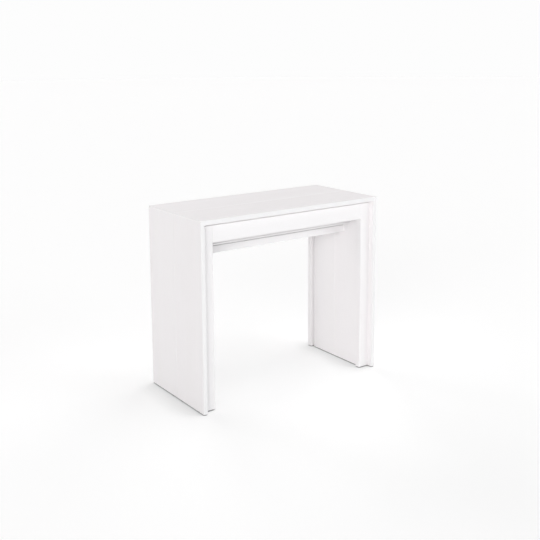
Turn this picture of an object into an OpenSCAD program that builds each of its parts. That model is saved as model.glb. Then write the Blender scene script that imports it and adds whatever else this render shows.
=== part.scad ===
// Extending console table in white board, drawn closed.
// The front half draws away from the rear half on two groups of telescopic runners.
// Origin: middle of the footprint, on the floor. X runs along the width, Y from front to rear, Z up.
// Wooden pieces are drawn once, for the rear right quarter, and mirrored to the other quarters.

/* [Table] */
// Width over the two gables
table_w = 900; // [800:10:1200]
// Depth of the closed table
table_d = 420; // [400:10:520]
// Height of the top above the floor
table_h = 780; // [720:5:820]
// Thickness of the top and gable boards
board_t = 18; // [16:1:25]
// Bevel along the edges of the boards
arris = 1; // [0.5:0.25:2]
// Gap between the two halves when the table is closed
meeting_gap = 0.3; // [0.3:0.1:0.8]

/* [Legs] */
// Distance from the edge of the top back to the posts and apron
frame_setback = 25; // [15:1:40]
// Width of a post, as seen from the front
post_w = 50; // [46:1:70]
// Depth of a post
post_d = 25; // [22:1:35]
// Thickness of the lining board inside a leg
lining_t = 18; // [14:1:20]
// Distance that the lining lies back from the face of the post
lining_recess = 10; // [9:1:14]
// Width of the shadow groove between lining and post
reveal_w = 10; // [6:1:16]
// Depth of the tongue that holds the lining in the post
tongue_l = 6; // [4:1:8]
// Depth of the stile that closes a hollow leg where the halves meet
stile_d = 18; // [15:1:30]
// Height of the blocks that close a hollow leg at its head and foot
block_h = 40; // [30:5:80]

/* [Cross rails] */
// Height of the apron
apron_h = 78; // [74:1:100]
// Thickness of the apron
apron_t = 18; // [16:1:20]
// Height of the shadow groove under the top
shadow_h = 10; // [6:1:14]
// Depth of the shadow groove under the top
shadow_d = 8; // [5:1:10]
// Height of the bearer that ties the legs behind the apron
bearer_h = 34; // [25:1:40]
// Thickness of the bearer
bearer_t = 20; // [16:1:25]
// Distance from the edge of the top to the bearer
bearer_inset = 95; // [85:1:105]
// Height of the lip under the groove along the bearer
bearer_lip_h = 7; // [5:1:9]
// Height of the groove along the bearer
bearer_groove_h = 5; // [3:1:7]
// Depth of the groove along the bearer
bearer_groove_d = 4; // [2:0.5:6]
// Height of the stretcher
stretcher_h = 30; // [20:1:35]
// Thickness of the stretcher
stretcher_t = 30; // [20:1:34]
// Distance from the edge of the top to the stretcher
stretcher_inset = 148; // [140:1:152]
// Drop from the underside of the bearer to the top of the stretcher
stretcher_drop = 16; // [10:1:40]
// Length of the tenons on the apron
apron_tenon_l = 22; // [15:1:30]
// Length of the tenons on the bearer and stretcher
rail_tenon_l = 10; // [6:1:12]
// Width of the shoulder round a tenon
shoulder = 5; // [4:1:6]

/* [Runners] */
// Height of a runner profile
runner_h = 56; // [52:1:60]
// Width of a runner profile, without its ribs
runner_w = 12; // [11:0.5:14]
// Gap between the side faces of neighbouring runners
runner_gap = 1; // [0.6:0.1:1.5]
// Clearance all round a rib in its track
slide_play = 0.3; // [0.2:0.05:0.5]
// Wall of the runner profile
runner_wall = 2.2; // [1.8:0.1:2.4]
// Thickness of the neck of a rib
rib_neck_t = 3; // [2:0.5:4]
// Thickness of the head of a rib
rib_head_t = 2.5; // [2:0.25:3]
// Height of the head of a rib
rib_head_h = 9; // [7:0.5:10]
// Travel of each runner along its neighbour, when the table is drawn out
stage_travel = 250; // [200:5:260]
// Diameter of the studs that stop a runner at the end of its travel
stop_d = 8; // [6:0.5:9]
// Distance from the rear end of a runner to the middle of its stop stud
stop_end = 14; // [8:1:20]
// Gap between the posts and the outermost runner
runner_side_gap = 2; // [1:0.5:4]
// Gap between the apron and the end of a runner
runner_end_gap = 2; // [1:0.5:5]
// Thickness of the fixing flange of an end runner
flange_t = 3; // [2.5:0.5:4]
// Thickness of the packers between the end runners and the top
packer_t = 2; // [1.5:0.5:4]
// Length of a packer
packer_l = 30; // [20:5:40]
// Width of the bars that join the left and right runners
crossbar_w = 25; // [20:1:30]
// Thickness of the bars that join the left and right runners
crossbar_t = 8; // [6:0.5:10]
// Wall of the bars that join the left and right runners
crossbar_wall = 2; // [1.5:0.25:2.5]
// Thickness of the pads between crossbar and runner
pad_t = 1; // [0.5:0.25:2]
// Gap between the crossbars and the bearer under them
crossbar_gap = 8; // [4:1:12]

/* [Latches] */
// Distance of each latch from the middle of the table
latch_x = 150; // [100:5:180]
// Distance from the meeting edge to a latch's pivot or stud
latch_y = 22; // [20:1:26]
// Thickness of the latch plate
latch_t = 3; // [2:0.5:4]
// Width of the latch arm
latch_w = 22; // [20:1:26]
// Diameter of the shoulder that the latch turns on, and of the stud
latch_pin_d = 8; // [6:0.5:9]
// Radial running clearance of the latch on its shoulder
latch_running = 0.05; // [0.03:0.01:0.1]
// Clearance of the latch plate above and below
latch_play = 0.5; // [0.3:0.1:1]
// Clearance of the stud in the slot of the latch
latch_slot_play = 0.8; // [0.5:0.1:1.2]
// Diameter of the heads that keep the latch up
latch_head_d = 14; // [12:0.5:16]
// Thickness of those heads
latch_head_t = 2.5; // [2:0.25:4]
// Length of the finger grip under the latch
latch_grip_l = 16; // [10:1:25]

/* [Dowels, screws and glides] */
// Diameter of the dowels in the meeting edge
dowel_d = 8; // [6:1:8]
// Length of dowel that stands out of the meeting edge
dowel_out = 12; // [8:1:20]
// Length of dowel glued into the front half
dowel_in = 20; // [15:1:30]
// Radial clearance of a dowel in the rear half
dowel_play = 0.3; // [0.2:0.05:0.5]
// Distance between the dowels along the top
dowel_spacing = 300; // [200:10:350]
// Height of the dowels in the gables
gable_dowel_z = 400; // [200:10:600]
// Diameter of the screws that hold the runners and latches
screw_d = 4; // [3:0.5:4.5]
// Length of screw in the wood
screw_in = 13; // [10:0.5:14]
// Diameter of the heads of the runner screws
head_d = 7; // [6:0.5:8]
// Height of the heads of the runner screws
head_h = 2.4; // [1.8:0.2:3]
// Diameter of a glide
glide_d = 16; // [12:1:16]
// Height of a glide, which lifts the table off the floor
glide_h = 4; // [3:0.5:8]
// Diameter of the nail of a glide
glide_nail_d = 3; // [2:0.5:4]
// Length of the nail of a glide
glide_nail_l = 16; // [10:1:25]
// Distance from the edge of the gable to its outer glide
glide_edge = 45; // [30:1:70]
// Distance from the meeting edge to the inner glide
glide_meet = 35; // [20:1:60]

/* [Hidden] */
$fn = 48;
// Depth by which a cutting shape passes the surface that it cuts
cut = 1;
// Clearance of a fixed pin or screw in its hole
hole_ease = 0.05;

HALVES = [["front", -1], ["rear", 1]];
SIDES = [["left", -1], ["right", 1]];
stage_count = 5;
STAGES = [1:stage_count];
HALF_PARTS = ["top", "apron", "bearer", "stretcher", "glides", "runner_packers", "runner_screws"];
QUARTER_PARTS = ["gable", "post", "lining", "stile", "leg_blocks", "end_runner"];
STAGE_PARTS = ["left_runner", "right_runner", "crossbar"];

// Levels, from the floor up
leg_base = glide_h;
under_top = table_h - board_t;
runner_top = under_top - packer_t;
runner_base = runner_top - runner_h;
crossbar_top = runner_base - pad_t;
bearer_top = crossbar_top - crossbar_t - crossbar_gap;
bearer_base = bearer_top - bearer_h;
stretcher_top = bearer_base - stretcher_drop;
apron_base = under_top - apron_h;

// Faces of the rear right quarter, from the middle outwards
meet_y = meeting_gap / 2;
edge_y = table_d / 2;
frame_y = edge_y - frame_setback;
post_y = frame_y - post_d;
apron_y = frame_y - apron_t;
bearer_y = edge_y - bearer_inset;
stretcher_y = edge_y - stretcher_inset;
edge_x = table_w / 2;
gable_x = edge_x - board_t;
post_x = gable_x - post_w;
lining_x = post_x + lining_recess;
lining_mid_x = lining_x + lining_t / 2;
hollow_x = lining_x + lining_t;

// Runner group: runner 0 is outermost and fixed to the rear half, the last is fixed to the front half
last_runner = stage_count + 1;
runner_pitch = runner_w + runner_gap;
runner_len = 2 * (apron_y - runner_end_gap);
track_heights = [runner_h / 4, runner_h * 3 / 4];
lip_t = runner_wall;
track_mouth = rib_neck_t + 2 * slide_play;
track_h = rib_head_h + 2 * slide_play;
track_depth = rib_head_t + 2 * slide_play;
flange_w = lining_recess + runner_side_gap - runner_gap;
flange_len = 2 * (post_y - reveal_w);
crossbar_pitch = (runner_len - 2 * crossbar_w) / stage_count;
screw_ys = [for (step = [1:3]) runner_len * (step - 0.5) / 6];
rear_stop_y = runner_len / 2 - stop_end;
front_stop_y = rear_stop_y - stage_travel - stop_d - slide_play;

// Latch: the arm reaches from the pivot in the rear half to the stud in the front half
latch_reach = 2 * latch_y;
latch_slot_r = latch_pin_d / 2 + latch_slot_play;
latch_top = under_top - latch_play;
latch_base = latch_top - latch_t;

function runner_x(index) = post_x - runner_side_gap - index * runner_pitch;
function crossbar_y(stage) = ((stage_count + 1) / 2 - stage) * crossbar_pitch;
function flange_mid_x(index) =
    index == 0 ? runner_x(0) + flange_w / 2 : runner_x(index) - runner_w - flange_w / 2;

// Rectangle with a bevel on each corner
function bevelled(from, to, bevel) = [
    [from.x + bevel, from.y], [to.x - bevel, from.y],
    [to.x, from.y + bevel], [to.x, to.y - bevel],
    [to.x - bevel, to.y], [from.x + bevel, to.y],
    [from.x, to.y - bevel], [from.x, from.y + bevel]
];

module box(from, to) {
    translate(from) cube(to - from);
}

// Draws an outline of Y and Z as a bar along X
module along_x(from, to) {
    translate([from, 0, 0]) rotate([90, 0, 90]) linear_extrude(to - from) children();
}

// Draws an outline of X and Z as a bar along Y
module along_y(from, to) {
    translate([0, to, 0]) rotate([90, 0, 0]) linear_extrude(to - from) children();
}

module along_z(from, to) {
    translate([0, 0, from]) linear_extrude(to - from) children();
}

// Moves a piece of the rear right quarter to the quarter of the given side and half
module quarter(side, half) {
    mirror([side < 0 ? 1 : 0, 0, 0]) mirror([0, half < 0 ? 1 : 0, 0]) children();
}

module both_sides() {
    for (side = SIDES) quarter(side[1], 1) children();
}

// Space above and outside the mitre between top and gable
module mitre(outline_corner) {
    along_y(meet_y - cut, edge_y + cut) polygon([
        [gable_x - cut, under_top - cut],
        [edge_x + cut, table_h + cut],
        outline_corner
    ]);
}

// Space outside the bevel on the mitred corner
module corner_bevel() {
    along_y(meet_y - cut, edge_y + cut) polygon([
        [edge_x - arris - cut, table_h + cut],
        [edge_x + cut, table_h - arris - cut],
        [edge_x + cut, table_h + cut]
    ]);
}

// Blind hole into the meeting edge
module meeting_hole(x, z, radius, depth) {
    translate([x, meet_y - cut, z]) rotate([-90, 0, 0]) cylinder(r = radius, h = depth + cut);
}

// Pilot hole up into the top
module pilot_hole(x, y) {
    translate([x, y, under_top - cut]) cylinder(d = screw_d + 2 * hole_ease, h = screw_in + 2 * cut);
}

// The front half holds the dowels, so its holes are tight, and the rear half's are eased
function dowel_hole_r(half) = dowel_d / 2 + (half < 0 ? hole_ease : dowel_play);
function dowel_hole_l(half) = half < 0 ? dowel_in : dowel_out + cut;
function end_index(half) = half < 0 ? last_runner : 0;

module top_board(half) {
    color("white") difference() {
        along_x(-edge_x, edge_x) polygon(bevelled([meet_y, under_top], [edge_y, table_h], arris));
        both_sides() {
            mitre([edge_x + cut, under_top - cut]);
            corner_bevel();
            for (y = screw_ys) pilot_hole(flange_mid_x(end_index(half)), y);
            pilot_hole(latch_x, latch_y);
        }
        for (step = [-1:1])
            meeting_hole(step * dowel_spacing, table_h - board_t / 2, dowel_hole_r(half), dowel_hole_l(half));
    }
}

module gable(half) {
    color("white") difference() {
        along_z(leg_base, table_h) polygon(bevelled([gable_x, meet_y], [edge_x, edge_y], arris));
        mitre([gable_x - cut, table_h + cut]);
        corner_bevel();
        meeting_hole(edge_x - board_t / 2, gable_dowel_z, dowel_hole_r(half), dowel_hole_l(half));
        for (y = [glide_meet, edge_y - glide_edge]) nail_hole(edge_x - board_t / 2, y);
    }
}

module nail_hole(x, y) {
    translate([x, y, leg_base - cut])
        cylinder(d = glide_nail_d + 2 * hole_ease, h = glide_nail_l + 2 * cut);
}

// Groove cut along the head of posts and apron, which shows as a shadow under the top
module shadow_groove(from_x, to_x) {
    box([from_x, frame_y - shadow_d, under_top - shadow_h], [to_x, frame_y + cut, under_top + cut]);
}

module apron_tenon() {
    box([post_x, apron_y + shoulder, apron_base + shoulder],
        [post_x + apron_tenon_l, frame_y - shoulder, under_top - shadow_h - shoulder]);
}

module post() {
    color("white") difference() {
        along_z(leg_base, under_top) polygon(bevelled([post_x, post_y], [gable_x, frame_y], arris));
        shadow_groove(post_x - cut, gable_x + cut);
        apron_tenon();
        box([lining_mid_x, post_y - cut, leg_base - cut], [hollow_x, post_y + tongue_l, under_top + cut]);
        nail_hole((post_x + gable_x) / 2, (post_y + frame_y) / 2);
    }
}

// Board between post and meeting edge, with a tongue into the post and holes for the rails
module lining() {
    color("white") difference() {
        along_z(leg_base, under_top) polygon([
            [lining_x + arris, meet_y],
            [hollow_x, meet_y],
            [hollow_x, post_y + tongue_l],
            [lining_mid_x, post_y + tongue_l],
            [lining_mid_x, post_y - reveal_w],
            [lining_x + arris, post_y - reveal_w],
            [lining_x, post_y - reveal_w - arris],
            [lining_x, meet_y + arris]
        ]);
        rail_tenon(bearer_y, bearer_t, bearer_top, bearer_h);
        rail_tenon(stretcher_y, stretcher_t, stretcher_top, stretcher_h);
    }
}

// Stile that closes the hollow leg at the meeting edge
module stile() {
    color("white") box([hollow_x, meet_y, leg_base], [gable_x, meet_y + stile_d, under_top]);
}

// Blocks that close the hollow leg at its foot and head
module leg_blocks() {
    color("white") for (base = [leg_base, under_top - block_h])
        box([hollow_x, meet_y + stile_d, base], [gable_x, post_y, base + block_h]);
}

module apron() {
    color("white") union() {
        difference() {
            along_x(-post_x, post_x) polygon(bevelled([apron_y, apron_base], [frame_y, under_top], arris));
            shadow_groove(-post_x - cut, post_x + cut);
        }
        both_sides() apron_tenon();
    }
}

module rail_tenon(outer_y, thickness, top_z, height) {
    box([lining_x, outer_y - thickness + shoulder, top_z - height + shoulder],
        [lining_x + rail_tenon_l, outer_y - shoulder, top_z - shoulder]);
}

// Rail from lining to lining, with a tenon at each end
module rail(outer_y, thickness, top_z, height) {
    color("white") union() {
        along_x(-lining_x, lining_x)
            polygon(bevelled([outer_y - thickness, top_z - height], [outer_y, top_z], arris));
        both_sides() rail_tenon(outer_y, thickness, top_z, height);
    }
}

// Bearer with a groove along its outer face, which shows as a dark line over a thin lip
module bearer() {
    groove_base = bearer_base + bearer_lip_h;
    color("white") difference() {
        rail(bearer_y, bearer_t, bearer_top, bearer_h);
        box([-lining_x - cut, bearer_y - bearer_groove_d, groove_base],
            [lining_x + cut, bearer_y + cut, groove_base + bearer_groove_h]);
    }
}

module stretcher() {
    rail(stretcher_y, stretcher_t, stretcher_top, stretcher_h);
}

module glide() {
    rotate_extrude() polygon([
        [0, 0],
        [glide_d / 2 - arris, 0],
        [glide_d / 2, arris],
        [glide_d / 2, glide_h],
        [glide_nail_d / 2, glide_h],
        [glide_nail_d / 2, glide_h + glide_nail_l],
        [0, glide_h + glide_nail_l]
    ]);
}

// Two glides under each gable and one under each post
module glides() {
    color("black") both_sides() {
        for (y = [glide_meet, edge_y - glide_edge]) translate([edge_x - board_t / 2, y, 0]) glide();
        translate([(post_x + gable_x) / 2, (post_y + frame_y) / 2, 0]) glide();
    }
}

// Outline of a rib that stands out of the inner face of a runner
module rib_outline() {
    neck_l = runner_gap + lip_t + slide_play;
    translate([-neck_l, -rib_neck_t / 2]) square([neck_l, rib_neck_t]);
    translate([-neck_l - rib_head_t, -rib_head_h / 2]) square([rib_head_t, rib_head_h]);
}

// Outline of the track that a rib runs in, open at the outer face of a runner
module track_outline() {
    translate([-lip_t - cut, -track_mouth / 2]) square([lip_t + 2 * cut, track_mouth]);
    translate([-lip_t - track_depth, -track_h / 2]) square([track_depth, track_h]);
}

// Outline of a runner, with its outer face at zero and its foot on the axis
module runner_outline(has_track, has_rib) {
    chamber_low = track_heights[0] + track_h / 2 + runner_wall;
    chamber_high = track_heights[1] - track_h / 2 - runner_wall;
    difference() {
        union() {
            translate([-runner_w, 0]) square([runner_w, runner_h]);
            if (has_rib) for (height = track_heights) translate([-runner_w, height]) rib_outline();
        }
        if (has_track) for (height = track_heights) translate([0, height]) track_outline();
        translate([runner_wall - runner_w, chamber_low])
            square([runner_w - 2 * runner_wall, chamber_high - chamber_low]);
    }
}

// Stud that stands out of a runner's face into the gap to its neighbour
module stop_stud(y, root) {
    translate([root, y, runner_h / 2]) rotate([0, 90, 0])
        cylinder(d = stop_d, h = runner_gap - slide_play + cut);
}

// Runner of the right group, counted from the outermost
// The rear stud of one runner meets the front stud of the next one out at the end of the travel
module runner(index) {
    color("silver") translate([runner_x(index), 0, runner_base]) {
        along_y(-runner_len / 2, runner_len / 2)
            runner_outline(has_track = index > 0, has_rib = index < last_runner);
        if (index > 0) stop_stud(rear_stop_y, -cut);
        if (index < last_runner) stop_stud(front_stop_y, slide_play - runner_gap - runner_w);
    }
}

// Outermost or innermost runner, with the flange that screws to the top
module end_runner(half) {
    index = end_index(half);
    flange_x = flange_mid_x(index) - flange_w / 2;
    color("silver") difference() {
        union() {
            runner(index);
            box([flange_x, -flange_len / 2, runner_top - flange_t],
                [flange_x + flange_w, flange_len / 2, runner_top]);
        }
        for (y = screw_ys) translate([flange_mid_x(index), half * y, runner_top - flange_t - cut])
            cylinder(d = screw_d + 2 * hole_ease, h = flange_t + 2 * cut);
    }
}

module runner_packers(half) {
    flange_x = flange_mid_x(end_index(half)) - flange_w / 2;
    color("dimgray") both_sides() for (y = screw_ys) difference() {
        box([flange_x, y - packer_l / 2, runner_top], [flange_x + flange_w, y + packer_l / 2, under_top]);
        translate([flange_mid_x(end_index(half)), y, runner_top - cut])
            cylinder(d = screw_d + 2 * hole_ease, h = packer_t + 2 * cut);
    }
}

// Screw with its shank up and a low domed head, with the seat of the head at zero
module screw(shank_l) {
    rotate_extrude() polygon(concat(
        [[0, shank_l], [0, -head_h]],
        [for (turn = [15:15:90]) [head_d / 2 * sin(turn), -head_h * cos(turn)]],
        [[screw_d / 2, 0], [screw_d / 2, shank_l - screw_d / 2]]
    ));
}

module runner_screws(half) {
    color("silver") both_sides() for (y = screw_ys)
        translate([flange_mid_x(end_index(half)), y, runner_top - flange_t])
            screw(flange_t + packer_t + screw_in);
}

// Channel, open below, that joins the left and right runners of one stage
module crossbar(stage) {
    y = crossbar_y(stage);
    front_y = y - crossbar_w / 2;
    rear_y = y + crossbar_w / 2;
    reach = runner_x(stage);
    color("silver") {
        difference() {
            box([-reach, front_y, crossbar_top - crossbar_t], [reach, rear_y, crossbar_top]);
            box([-reach - cut, front_y + crossbar_wall, crossbar_top - crossbar_t - cut],
                [reach + cut, rear_y - crossbar_wall, crossbar_top - crossbar_wall]);
        }
        both_sides() box([reach - runner_w, front_y, crossbar_top], [reach, rear_y, runner_base]);
    }
}

module meeting_dowel(x, z) {
    translate([x, -meet_y - dowel_in, z]) rotate([-90, 0, 0])
        rotate_extrude() polygon([
            [0, 0],
            [dowel_d / 2 - arris, 0],
            [dowel_d / 2, arris],
            [dowel_d / 2, dowel_in + dowel_out - arris],
            [dowel_d / 2 - arris, dowel_in + dowel_out],
            [0, dowel_in + dowel_out]
        ]);
}

module meeting_dowels() {
    color("burlywood") {
        for (step = [-1:1]) meeting_dowel(step * dowel_spacing, table_h - board_t / 2);
        both_sides() meeting_dowel(edge_x - board_t / 2, gable_dowel_z);
    }
}

// Shouldered screw that a latch turns on or catches, with the shoulder against the top
module latch_screw() {
    shoulder_l = latch_t + 2 * latch_play;
    translate([latch_x, latch_y, under_top]) rotate_extrude() polygon([
        [0, screw_in],
        [0, -shoulder_l - latch_head_t],
        [latch_head_d / 2 - arris, -shoulder_l - latch_head_t],
        [latch_head_d / 2, -shoulder_l - latch_head_t + arris],
        [latch_head_d / 2, -shoulder_l],
        [latch_pin_d / 2, -shoulder_l],
        [latch_pin_d / 2, 0],
        [screw_d / 2, 0],
        [screw_d / 2, screw_in - screw_d / 2]
    ]);
}

module latch_screws() {
    color("silver") both_sides() latch_screw();
}

// Plate of the latch, with its pivot at the origin and the arm along X
module latch_outline() {
    difference() {
        union() {
            circle(d = latch_w);
            translate([0, -latch_w / 2]) square([latch_reach, latch_w]);
            translate([latch_reach, 0]) circle(d = latch_w);
            translate([-latch_w, -latch_w / 4]) square([latch_w, latch_w / 2]);
            translate([-latch_w, 0]) circle(d = latch_w / 2);
        }
        circle(r = latch_pin_d / 2 + latch_running);
        translate([latch_reach, 0]) circle(r = latch_slot_r);
        intersection() {
            difference() {
                circle(r = latch_reach + latch_slot_r);
                circle(r = latch_reach - latch_slot_r);
            }
            translate([0, -latch_reach]) square([2 * latch_reach, latch_reach]);
        }
    }
}

// Hook that turns under the meeting edges and catches the stud of the front half
module latch() {
    color("silver") translate([latch_x, latch_y, 0]) {
        along_z(latch_base, latch_top) latch_outline();
        translate([-latch_w, 0, latch_base - latch_grip_l]) cylinder(d = latch_w / 2, h = latch_grip_l);
    }
}

for (half = HALVES) {
    quarter(1, half[1]) top_board(half[1]);
    quarter(1, half[1]) apron();
    quarter(1, half[1]) bearer();
    quarter(1, half[1]) stretcher();
    quarter(1, half[1]) glides();
    quarter(1, half[1]) runner_packers(half[1]);
    quarter(1, half[1]) runner_screws(half[1]);
}
for (half = HALVES, side = SIDES) {
    name = str(half[0], "_", side[0]);
    quarter(side[1], half[1]) gable(half[1]);
    quarter(side[1], half[1]) post();
    quarter(side[1], half[1]) lining();
    quarter(side[1], half[1]) stile();
    quarter(side[1], half[1]) leg_blocks();
    quarter(side[1], 1) end_runner(half[1]);
}
for (stage = STAGES) {
    quarter(-1, 1) runner(stage);
    quarter(1, 1) runner(stage);
    crossbar(stage);
}
meeting_dowels();
latch_screws();  // latch_pivots
quarter(1, -1) latch_screws();  // latch_studs
quarter(-1, 1) latch();  // left_latch
quarter(1, 1) latch();  // right_latch
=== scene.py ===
"""Dresses the white extending console table: finishes, small fittings, studio and camera.

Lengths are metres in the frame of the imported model: X runs along the width, the front
faces -Y and Z points up from the floor.
"""

import logging
import math
from abc import ABC, abstractmethod
from collections.abc import Mapping, Sequence
from dataclasses import dataclass
from enum import Enum
from typing import ClassVar

import bmesh
import bpy
from mathutils import Matrix, Vector


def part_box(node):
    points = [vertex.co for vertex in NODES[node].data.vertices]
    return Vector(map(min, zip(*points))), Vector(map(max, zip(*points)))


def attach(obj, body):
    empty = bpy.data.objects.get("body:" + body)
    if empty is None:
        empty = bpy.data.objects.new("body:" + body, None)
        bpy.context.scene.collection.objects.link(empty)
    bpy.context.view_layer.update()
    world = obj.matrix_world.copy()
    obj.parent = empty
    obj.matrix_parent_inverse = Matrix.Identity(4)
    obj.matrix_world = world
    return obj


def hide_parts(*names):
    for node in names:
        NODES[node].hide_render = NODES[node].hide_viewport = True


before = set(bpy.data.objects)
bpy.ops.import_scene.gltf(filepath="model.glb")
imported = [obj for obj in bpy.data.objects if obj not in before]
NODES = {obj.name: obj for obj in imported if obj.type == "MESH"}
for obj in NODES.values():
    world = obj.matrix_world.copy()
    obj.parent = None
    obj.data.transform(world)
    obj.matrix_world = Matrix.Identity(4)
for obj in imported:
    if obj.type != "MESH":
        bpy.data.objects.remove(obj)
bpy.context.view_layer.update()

LOG = logging.getLogger("console_table")
MM = 0.001
MERGE = 0.01 * MM
SMOOTH_BELOW = math.radians(35)
QUARTER = math.pi / 2
AXES = ("X", "Y", "Z")
# The Mix node has sockets for each kind of value, and these are the ones for colours.
MIX_INPUTS = (0, 6, 7)
MIX_OUTPUT = 2

Triple = tuple[float, float, float]
Colour = Triple
Span = tuple[float, float]
# Cycles for each metre along X, Y and Z, and the number of finer layers of a noise.
Pattern = tuple[Triple, float]
Box = tuple[Vector, Vector]
Material = bpy.types.Material
Socket = bpy.types.NodeSocket
Sockets = Mapping[str, Socket]
Shape = bmesh.types.BMesh


class Half(Enum):
    """Half of the table, with the sign of its side of the meeting edge."""

    FRONT = -1
    REAR = 1

    @property
    def word(self) -> str:
        """The half's name as the nodes spell it."""
        return self.name.lower()

    @property
    def body(self) -> str:
        """The body that the half's boards ride on."""
        return f"{self.word}_half"


class Side(Enum):
    """Side of the table, with the sign of its X."""

    LEFT = -1
    RIGHT = 1

    @property
    def word(self) -> str:
        """The side's name as the nodes spell it."""
        return self.name.lower()


class Grain(Enum):
    """Direction of a pattern, as the turn that lays it along the pattern's own X."""

    ALONG_X = (0.0, 0.0, 0.0)
    ALONG_Y = (0.0, 0.0, -QUARTER)
    ALONG_Z = (0.0, QUARTER, 0.0)


class Drive(Enum):
    """Recess that a driver turns a screw by, with the share of its width that is left at its foot."""

    CROSS = 0.55
    HEXAGON = 0.95

    def radius(self, turn: float, size: float) -> float:
        """Distance from the middle to the outline of the recess.

        Args:
            turn: direction, in radians.
            size: half the length over the arms of a cross, or over the flats of a hexagon.

        Returns:
            The distance in that direction.
        """
        if self is Drive.HEXAGON:
            sixth = math.pi / 3
            return size / math.cos((turn + sixth / 2) % sixth - sixth / 2)
        arm_share = 0.24
        least_turn = 1e-3
        quarter = turn % QUARTER
        folded = max(min(quarter, QUARTER - quarter), least_turn)
        return size * min(1 / math.cos(folded), arm_share / math.sin(folded))


class NodeGraph:
    """Adds nodes to one node tree and joins them."""

    def __init__(self, tree: bpy.types.NodeTree) -> None:
        """Takes the tree that the nodes go into."""
        self.tree = tree

    def add(self, kind: str, inputs: Mapping[str | int, object] | None = None,
            **settings: object) -> bpy.types.Node:
        """Adds a node and fills its inputs.

        Args:
            kind: Blender's name for the kind of node.
            inputs: a value to set or a socket to link, by the input's name or number.
            **settings: properties of the node, set before its inputs.

        Returns:
            The new node.
        """
        node = self.tree.nodes.new(kind)
        for name, setting in settings.items():
            setattr(node, name, setting)
        for key, given in (inputs or {}).items():
            if isinstance(given, Socket):
                self.tree.links.new(given, node.inputs[key])
            else:
                node.inputs[key].default_value = given
        return node

    def math(self, operation: str, *given: object) -> Socket:
        """Adds a Math node on numbers or sockets and returns its result."""
        return self.add("ShaderNodeMath", dict(enumerate(given)), operation=operation).outputs[0]

    def vector(self, operation: str, *given: object) -> Socket:
        """Adds a Vector Math node on vectors or sockets and returns its vector."""
        return self.add("ShaderNodeVectorMath", dict(enumerate(given)), operation=operation).outputs[0]

    def parts(self, vector: Socket) -> Sockets:
        """Splits a vector into its X, Y and Z."""
        return self.add("ShaderNodeSeparateXYZ", {0: vector}).outputs

    def place(self) -> Socket:
        """Returns the place on the piece, in metres."""
        return self.add("ShaderNodeTexCoord").outputs["Object"]

    def laid(self, grain: Grain, shift: Sequence[float] = (0.0, 0.0, 0.0)) -> Socket:
        """Returns the place on the piece with the grain's direction along X.

        Args:
            grain: the direction that the pattern follows.
            shift: a move of the pattern, so that like pieces don't match.

        Returns:
            The turned and moved place.
        """
        inputs = {"Vector": self.place(), "Rotation": grain.value, "Location": tuple(shift)}
        return self.add("ShaderNodeMapping", inputs).outputs[0]

    def noise(self, point: Socket, scale: Sequence[float], detail: float) -> Socket:
        """Adds a noise and returns its value.

        Args:
            point: where the noise is read.
            scale: cycles for each metre along X, Y and Z.
            detail: number of finer layers.

        Returns:
            The noise, about 0.5 on average.
        """
        inputs = {"Vector": self.vector("MULTIPLY", point, tuple(scale)), "Scale": 1.0, "Detail": detail}
        return self.add("ShaderNodeTexNoise", inputs).outputs["Fac"]

    def ramp(self, given: Socket, span: Span = (0.0, 1.0), ends: Span = (0.0, 1.0)) -> Socket:
        """Maps a value to a smooth, clamped step.

        Args:
            given: the socket to map.
            span: the values that give the first and the second end.
            ends: the two ends.

        Returns:
            The mapped socket.
        """
        inputs = {"Value": given, "From Min": span[0], "From Max": span[1],
                  "To Min": ends[0], "To Max": ends[1]}
        return self.add("ShaderNodeMapRange", inputs, interpolation_type="SMOOTHSTEP").outputs[0]

    def mix(self, share: object, low: object, high: object) -> Socket:
        """Mixes two colours by a share and returns the colour."""
        inputs = {key: (*given, 1.0) if isinstance(given, tuple) else given
                  for key, given in zip(MIX_INPUTS, (share, low, high))}
        return self.add("ShaderNodeMix", inputs, data_type="RGBA").outputs[MIX_OUTPUT]

    def blend(self, share: object, first: bpy.types.Node, second: bpy.types.Node) -> bpy.types.Node:
        """Mixes the shaders of two nodes by a share and returns the new node."""
        return self.add("ShaderNodeMixShader", {0: share, 1: first.outputs[0], 2: second.outputs[0]})

    def relief(self, height: Socket, depth: float) -> Socket:
        """Returns normals for a relief in which a height of 1 is the given depth in metres."""
        return self.add("ShaderNodeBump", {"Height": height, "Distance": depth}).outputs["Normal"]

    def finish(self, inputs: Mapping[str, object]) -> None:
        """Ends a material with a Principled shader that has the given inputs."""
        shader = self.add("ShaderNodeBsdfPrincipled", inputs)
        self.add("ShaderNodeOutputMaterial", {"Surface": shader.outputs["BSDF"]})


def new_material(name: str) -> tuple[Material, NodeGraph]:
    """Makes an empty node material.

    Args:
        name: the material's name.

    Returns:
        The material and its graph.
    """
    material = bpy.data.materials.new(name)
    material.use_nodes = True
    material.node_tree.nodes.clear()
    return material, NodeGraph(material.node_tree)


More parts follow.
